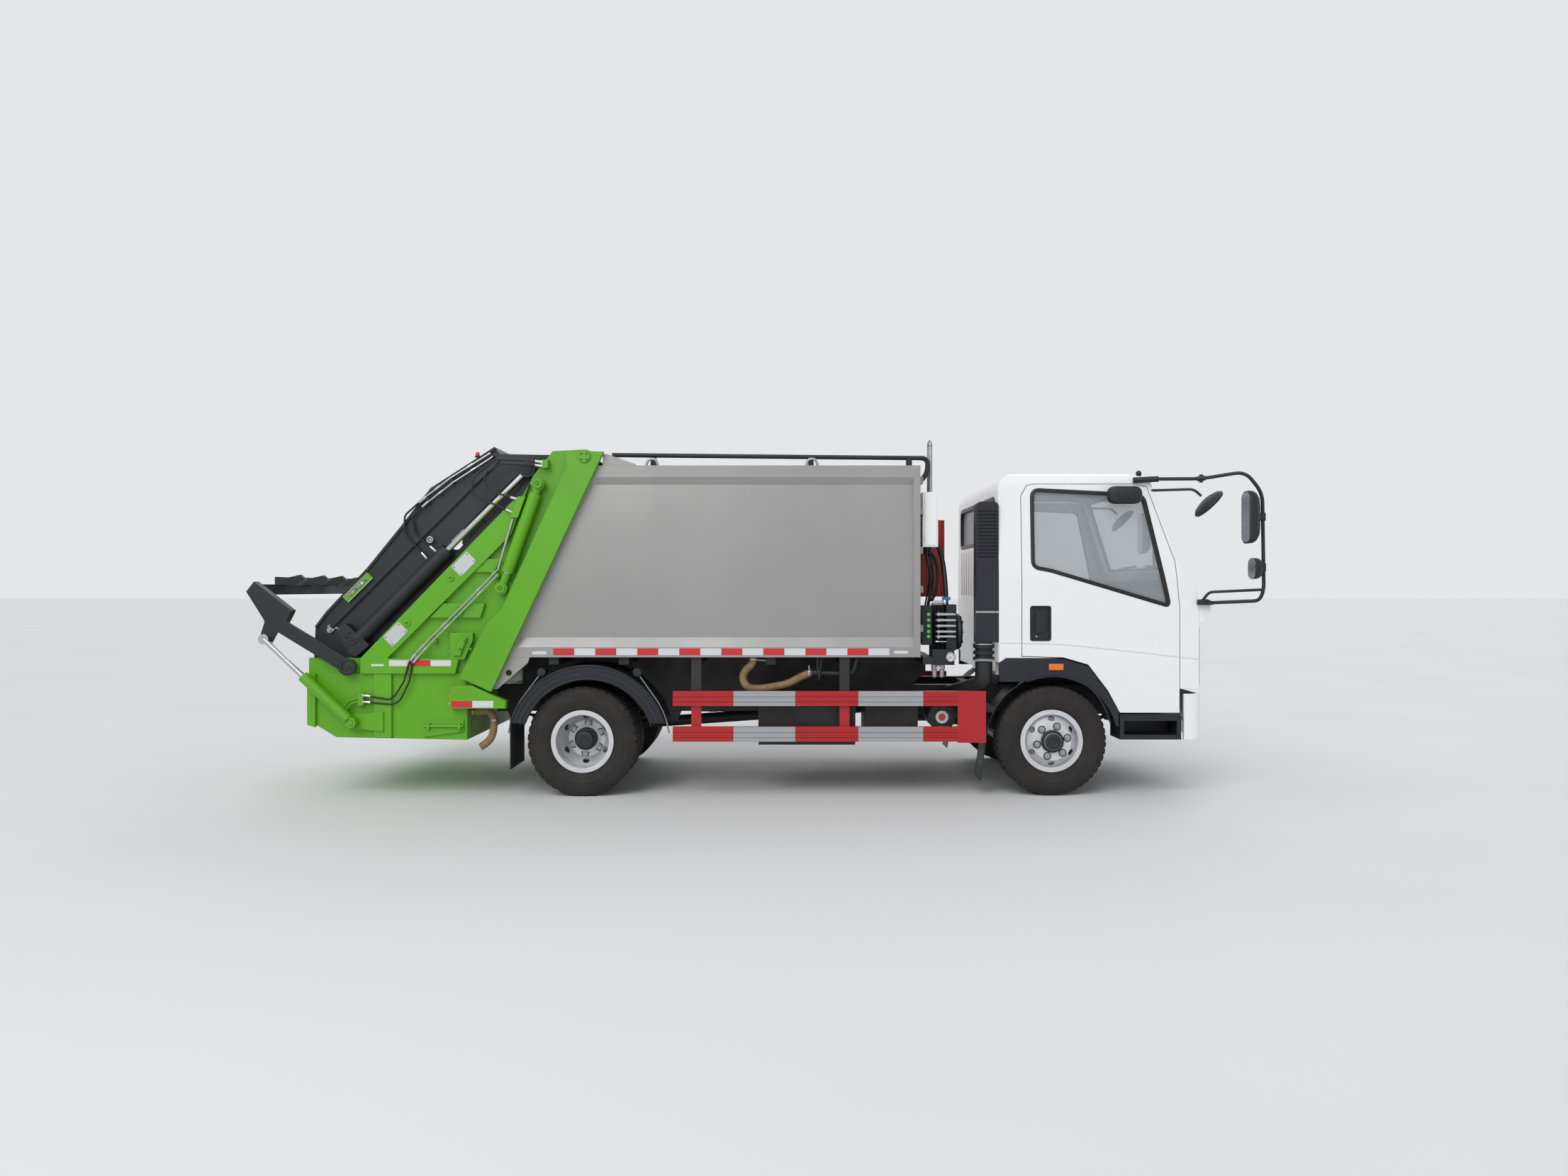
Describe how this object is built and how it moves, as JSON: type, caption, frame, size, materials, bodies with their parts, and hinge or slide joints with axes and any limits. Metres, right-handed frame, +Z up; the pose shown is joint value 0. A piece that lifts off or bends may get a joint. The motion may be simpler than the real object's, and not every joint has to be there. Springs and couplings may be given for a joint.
{
  "type": "garbage truck",
  "caption": "Rear-loading garbage truck with tilting cab, opening doors, sliding packer plate with sweeper, lifting tailgate, ejector wall and bin lifter.",
  "frame": {"origin": "centre of the ground rectangle under the whole truck, wheels standing on Z = 0", "axes": "+X forwards, +Y towards the truck's left, +Z up"},
  "size_m": [7.1509, 2.46, 2.571],
  "materials": {
    "white_paint": "gloss paint",
    "silver_paint": "satin metallic paint",
    "green_paint": "gloss paint",
    "dark_paint": "satin paint",
    "red_paint": "gloss paint",
    "orange_paint": "gloss paint",
    "frame_paint": "satin paint",
    "cast_engine": "raw casting",
    "black_plastic": "grained",
    "lamp_plastic": "clear lens",
    "tan_rubber": "ribbed hose",
    "hose_rubber": "smooth hose",
    "chrome_pipes": "polished",
    "chrome_rods": "polished",
    "window_glass": "clear",
    "seat_fabric": "woven cloth",
    "tyre_rubber": "moulded",
    "rim_paint": "silver paint"
  },
  "bodies": {
    "chassis": {"chassis_frame": "frame_paint", "front_axle": "frame_paint", "rear_axle": "frame_paint", "engine_block": "cast_engine", "gearbox_and_shaft": "frame_paint", "fuel_tank": "frame_paint", "side_boxes": "frame_paint", "bumper": "white_paint", "sub_frame": "frame_paint", "body_floor": "silver_paint", "body_sides": "silver_paint", "body_roof": "silver_paint", "rear_posts": "green_paint", "side_guards": "red_paint", "mudguards": "black_plastic", "drain_hoses": "tan_rubber", "hydraulic_valves": "chrome_pipes", "oil_tank": "orange_paint", "control_box": "white_paint"},
    "cab": {"cab_shell": "white_paint", "cab_glass": "window_glass", "cab_floor": "frame_paint", "dashboard": "black_plastic", "seats": "seat_fabric", "front_panel": "black_plastic", "headlamps": "lamp_plastic", "mirrors": "black_plastic", "wheel_arches": "black_plastic", "snorkel": "black_plastic"},
    "door_right": {"door_right": "white_paint", "door_glass_right": "window_glass", "door_mirror": "black_plastic"},
    "door_left": {"door_left": "white_paint", "door_glass_left": "window_glass"},
    "knuckle_right": {"knuckle_right": "frame_paint"},
    "knuckle_left": {"knuckle_left": "frame_paint"},
    "front_wheel_right": {"front_tyre_right": "tyre_rubber", "front_rim_right": "rim_paint"},
    "front_wheel_left": {"front_tyre_left": "tyre_rubber", "front_rim_left": "rim_paint"},
    "rear_wheels_right": {"rear_tyres_right": "tyre_rubber", "rear_rims_right": "rim_paint"},
    "rear_wheels_left": {"rear_tyres_left": "tyre_rubber", "rear_rims_left": "rim_paint"},
    "tailgate": {"tailgate_frames": "green_paint", "tailgate_walls": "dark_paint", "hopper": "green_paint", "slide_barrels": "dark_paint", "tailgate_pipes": "chrome_pipes", "tailgate_hoses": "hose_rubber", "hopper_hose": "tan_rubber"},
    "lift_barrels": {"lift_barrels": "green_paint"},
    "lift_rods": {"lift_rods": "chrome_rods"},
    "carriage": {"slide_plate": "dark_paint", "slide_rods": "chrome_rods"},
    "sweeper": {"sweeper": "dark_paint"},
    "ejector": {"ejector": "silver_paint"},
    "bin_lifter": {"lifter_frame": "dark_paint"},
    "lifter_barrels": {"lifter_barrels": "green_paint"},
    "lifter_rods": {"lifter_rods": "chrome_rods"}
  },
  "joints": [
    {"name": "cab_tilt", "type": "hinge", "parent": "chassis", "child": "cab", "pos_m": [3.2, 0, 0.66], "axis": [0, 1, 0], "range_deg": [0, 45]},
    {"name": "door_right_swing", "type": "hinge", "parent": "cab", "child": "door_right", "pos_m": [3.066, -0.942, 1.4], "axis": [0, 0, 1], "range_deg": [0, 70]},
    {"name": "door_left_swing", "type": "hinge", "parent": "cab", "child": "door_left", "pos_m": [3.066, 0.942, 1.4], "axis": [0, 0, -1], "range_deg": [0, 70]},
    {"name": "steer_right", "type": "hinge", "parent": "chassis", "child": "knuckle_right", "pos_m": [2.164, -0.7, 0.392], "axis": [0, 0, 1], "range_deg": [-35, 35]},
    {"name": "steer_left", "type": "hinge", "parent": "chassis", "child": "knuckle_left", "pos_m": [2.164, 0.7, 0.392], "axis": [0, 0, 1], "range_deg": [-35, 35]},
    {"name": "front_wheel_right_spin", "type": "hinge", "parent": "knuckle_right", "child": "front_wheel_right", "pos_m": [2.164, -0.822, 0.392], "axis": [0, 1, 0], "continuous": true},
    {"name": "front_wheel_left_spin", "type": "hinge", "parent": "knuckle_left", "child": "front_wheel_left", "pos_m": [2.164, 0.822, 0.392], "axis": [0, 1, 0], "continuous": true},
    {"name": "rear_wheels_right_spin", "type": "hinge", "parent": "chassis", "child": "rear_wheels_right", "pos_m": [-1.196, -0.73, 0.392], "axis": [0, 1, 0], "continuous": true},
    {"name": "rear_wheels_left_spin", "type": "hinge", "parent": "chassis", "child": "rear_wheels_left", "pos_m": [-1.196, 0.73, 0.392], "axis": [0, 1, 0], "continuous": true},
    {"name": "tailgate_lift", "type": "hinge", "parent": "chassis", "child": "tailgate", "pos_m": [-1.16, 0, 2.421], "axis": [0, 1, 0], "range_deg": [0, 85]},
    {"name": "lift_barrel_swing", "type": "hinge", "parent": "tailgate", "child": "lift_barrels", "pos_m": [-1.49, 0, 2.224], "axis": [0, 1, 0], "range_deg": [-89, 0]},
    {"name": "lift_rod_slide", "type": "slide", "parent": "lift_barrels", "child": "lift_rods", "axis": [-0.3368, 0, -0.9416], "range_m": [0, 0.517]},
    {"name": "packing_slide", "type": "slide", "parent": "tailgate", "child": "carriage", "axis": [-0.7071, 0, -0.7071], "range_m": [0, 0.745]},
    {"name": "sweep", "type": "hinge", "parent": "carriage", "child": "sweeper", "pos_m": [-1.983, 0, 1.677], "axis": [0, 1, 0], "range_deg": [0, 100]},
    {"name": "ejector_slide", "type": "slide", "parent": "chassis", "child": "ejector", "axis": [-1, 0, 0], "range_m": [0, 2.12]},
    {"name": "bin_lift", "type": "hinge", "parent": "tailgate", "child": "bin_lifter", "pos_m": [-2.839, 0, 0.932], "axis": [0, 1, 0], "range_deg": [-40, 40]},
    {"name": "lifter_barrel_swing", "type": "hinge", "parent": "tailgate", "child": "lifter_barrels", "pos_m": [-2.804, 0, 0.542], "axis": [0, 1, 0], "range_deg": [-27, 27]},
    {"name": "lifter_rod_slide", "type": "slide", "parent": "lifter_barrels", "child": "lifter_rods", "axis": [-0.7223, 0, 0.6916], "range_m": [-0.176, 0.176]}
  ],
  "couplings": [
    {"joint": "steer_left", "follows": "steer_right", "ratio": 1},
    {"joint": "lift_barrel_swing", "follows": "tailgate_lift", "ratio": -1.0376},
    {"joint": "lift_rod_slide", "follows": "tailgate_lift", "m_per_rad": 0.3478},
    {"joint": "lifter_barrel_swing", "follows": "bin_lift", "ratio": 0.66},
    {"joint": "lifter_rod_slide", "follows": "bin_lift", "m_per_rad": 0.2507}
  ]
}
